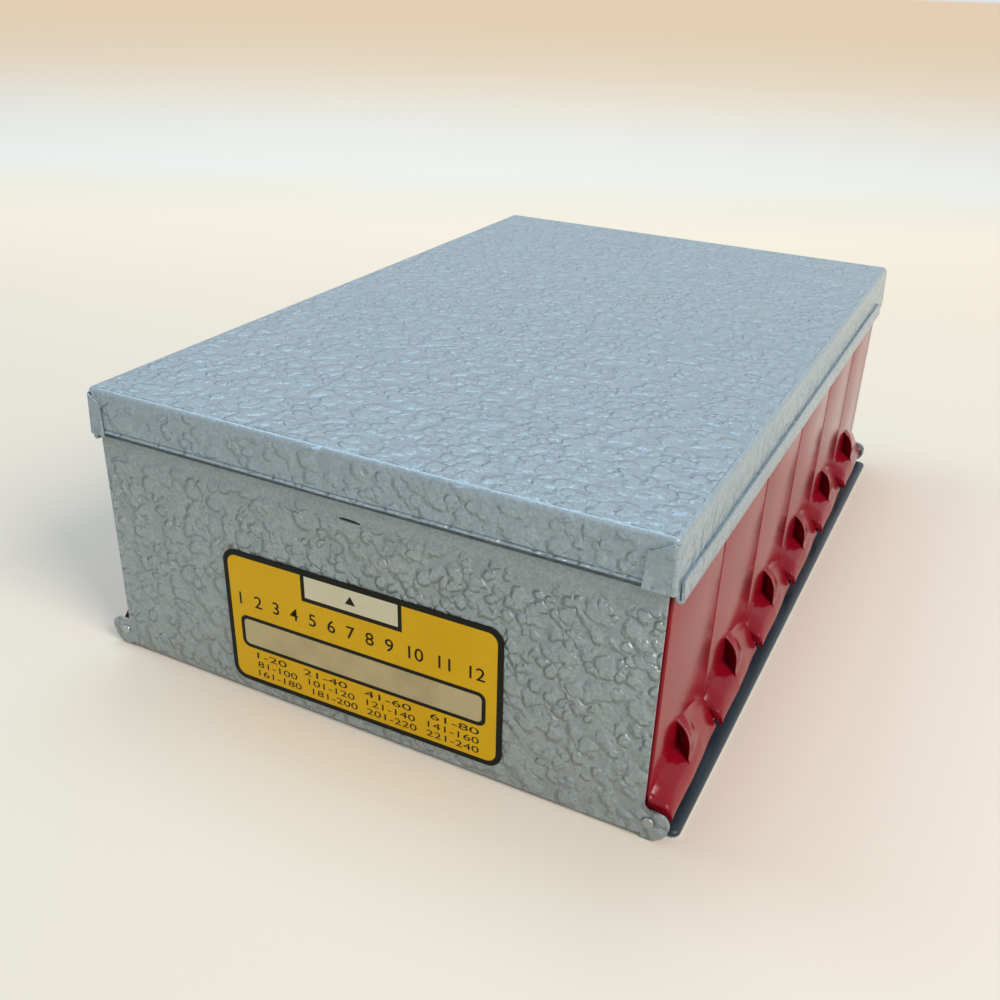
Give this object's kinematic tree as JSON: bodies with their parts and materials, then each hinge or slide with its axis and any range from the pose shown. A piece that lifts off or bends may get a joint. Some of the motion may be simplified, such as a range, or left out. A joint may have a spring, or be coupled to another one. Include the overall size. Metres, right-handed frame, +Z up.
{
  "type": "slide storage box",
  "caption": "Rectangular metal box for photographic slides: lift-off lid with folded skirts over rows of plastic compartments that tip outward on rods.",
  "frame": {"origin": "middle of the base, on the surface the box stands on", "axes": "+X to the right and +Y to the rear as seen from the labelled end, +Z up"},
  "size_m": [0.1202, 0.1722, 0.056],
  "materials": {
    "case_shell": "grey hammer finish",
    "lid_shell": "grey hammer finish",
    "base_tray": "gloss navy paint",
    "rods": "plain",
    "springs": "plain",
    "compartments": "moulded, glossy",
    "label_plate": "printed",
    "index_card": "plain"
  },
  "bodies": {
    "case": {"case_shell": "case_shell", "base_tray": "base_tray", "hinge_rod_right": "rods", "hinge_rod_left": "rods", "label_plate": "label_plate"},
    "lid": {"lid_shell": "lid_shell", "index_card": "index_card"},
    "spring_front": {"lid_spring_front": "springs"},
    "spring_rear": {"lid_spring_rear": "springs"},
    "compartment_right_1": {"compartment_right_1": "compartments"},
    "compartment_right_2": {"compartment_right_2": "compartments"},
    "compartment_right_3": {"compartment_right_3": "compartments"},
    "compartment_right_4": {"compartment_right_4": "compartments"},
    "compartment_right_5": {"compartment_right_5": "compartments"},
    "compartment_right_6": {"compartment_right_6": "compartments"},
    "compartment_left_1": {"compartment_left_1": "compartments"},
    "compartment_left_2": {"compartment_left_2": "compartments"},
    "compartment_left_3": {"compartment_left_3": "compartments"},
    "compartment_left_4": {"compartment_left_4": "compartments"},
    "compartment_left_5": {"compartment_left_5": "compartments"},
    "compartment_left_6": {"compartment_left_6": "compartments"}
  },
  "joints": [
    {"name": "lid_lift", "type": "slide", "parent": "case", "child": "lid", "axis": [0, 0, 1], "range_m": [0, 0.15]},
    {"name": "tilt_right_1", "type": "hinge", "parent": "case", "child": "compartment_right_1", "pos_m": [0.05555, 0, 0.00366], "axis": [0, 1, 0], "range_deg": [0, 48]},
    {"name": "tilt_right_2", "type": "hinge", "parent": "case", "child": "compartment_right_2", "pos_m": [0.05555, 0, 0.00366], "axis": [0, 1, 0], "range_deg": [0, 48]},
    {"name": "tilt_right_3", "type": "hinge", "parent": "case", "child": "compartment_right_3", "pos_m": [0.05555, 0, 0.00366], "axis": [0, 1, 0], "range_deg": [0, 48]},
    {"name": "tilt_right_4", "type": "hinge", "parent": "case", "child": "compartment_right_4", "pos_m": [0.05555, 0, 0.00366], "axis": [0, 1, 0], "range_deg": [0, 48]},
    {"name": "tilt_right_5", "type": "hinge", "parent": "case", "child": "compartment_right_5", "pos_m": [0.05555, 0, 0.00366], "axis": [0, 1, 0], "range_deg": [0, 48]},
    {"name": "tilt_right_6", "type": "hinge", "parent": "case", "child": "compartment_right_6", "pos_m": [0.05555, 0, 0.00366], "axis": [0, 1, 0], "range_deg": [0, 48]},
    {"name": "tilt_left_1", "type": "hinge", "parent": "case", "child": "compartment_left_1", "pos_m": [-0.05555, 0, 0.00366], "axis": [0, -1, 0], "range_deg": [0, 48]},
    {"name": "tilt_left_2", "type": "hinge", "parent": "case", "child": "compartment_left_2", "pos_m": [-0.05555, 0, 0.00366], "axis": [0, -1, 0], "range_deg": [0, 48]},
    {"name": "tilt_left_3", "type": "hinge", "parent": "case", "child": "compartment_left_3", "pos_m": [-0.05555, 0, 0.00366], "axis": [0, -1, 0], "range_deg": [0, 48]},
    {"name": "tilt_left_4", "type": "hinge", "parent": "case", "child": "compartment_left_4", "pos_m": [-0.05555, 0, 0.00366], "axis": [0, -1, 0], "range_deg": [0, 48]},
    {"name": "tilt_left_5", "type": "hinge", "parent": "case", "child": "compartment_left_5", "pos_m": [-0.05555, 0, 0.00366], "axis": [0, -1, 0], "range_deg": [0, 48]},
    {"name": "tilt_left_6", "type": "hinge", "parent": "case", "child": "compartment_left_6", "pos_m": [-0.05555, 0, 0.00366], "axis": [0, -1, 0], "range_deg": [0, 48]},
    {"name": "flex_front", "type": "hinge", "parent": "lid", "child": "spring_front", "pos_m": [0, -0.0847, 0.054], "axis": [-1, 0, 0], "range_deg": [0, 2.5], "stiffness_Nm_per_rad": 0.02},
    {"name": "flex_rear", "type": "hinge", "parent": "lid", "child": "spring_rear", "pos_m": [0, 0.0847, 0.054], "axis": [1, 0, 0], "range_deg": [0, 2.5], "stiffness_Nm_per_rad": 0.02}
  ],
  "couplings": [
    {"joint": "tilt_right_1", "follows": "lid_lift", "rad_per_m": 5.585},
    {"joint": "tilt_right_2", "follows": "lid_lift", "rad_per_m": 5.585},
    {"joint": "tilt_right_3", "follows": "lid_lift", "rad_per_m": 5.585},
    {"joint": "tilt_right_4", "follows": "lid_lift", "rad_per_m": 5.585},
    {"joint": "tilt_right_5", "follows": "lid_lift", "rad_per_m": 5.585},
    {"joint": "tilt_right_6", "follows": "lid_lift", "rad_per_m": 5.585},
    {"joint": "tilt_left_1", "follows": "lid_lift", "rad_per_m": 5.585},
    {"joint": "tilt_left_2", "follows": "lid_lift", "rad_per_m": 5.585},
    {"joint": "tilt_left_3", "follows": "lid_lift", "rad_per_m": 5.585},
    {"joint": "tilt_left_4", "follows": "lid_lift", "rad_per_m": 5.585},
    {"joint": "tilt_left_5", "follows": "lid_lift", "rad_per_m": 5.585},
    {"joint": "tilt_left_6", "follows": "lid_lift", "rad_per_m": 5.585}
  ]
}
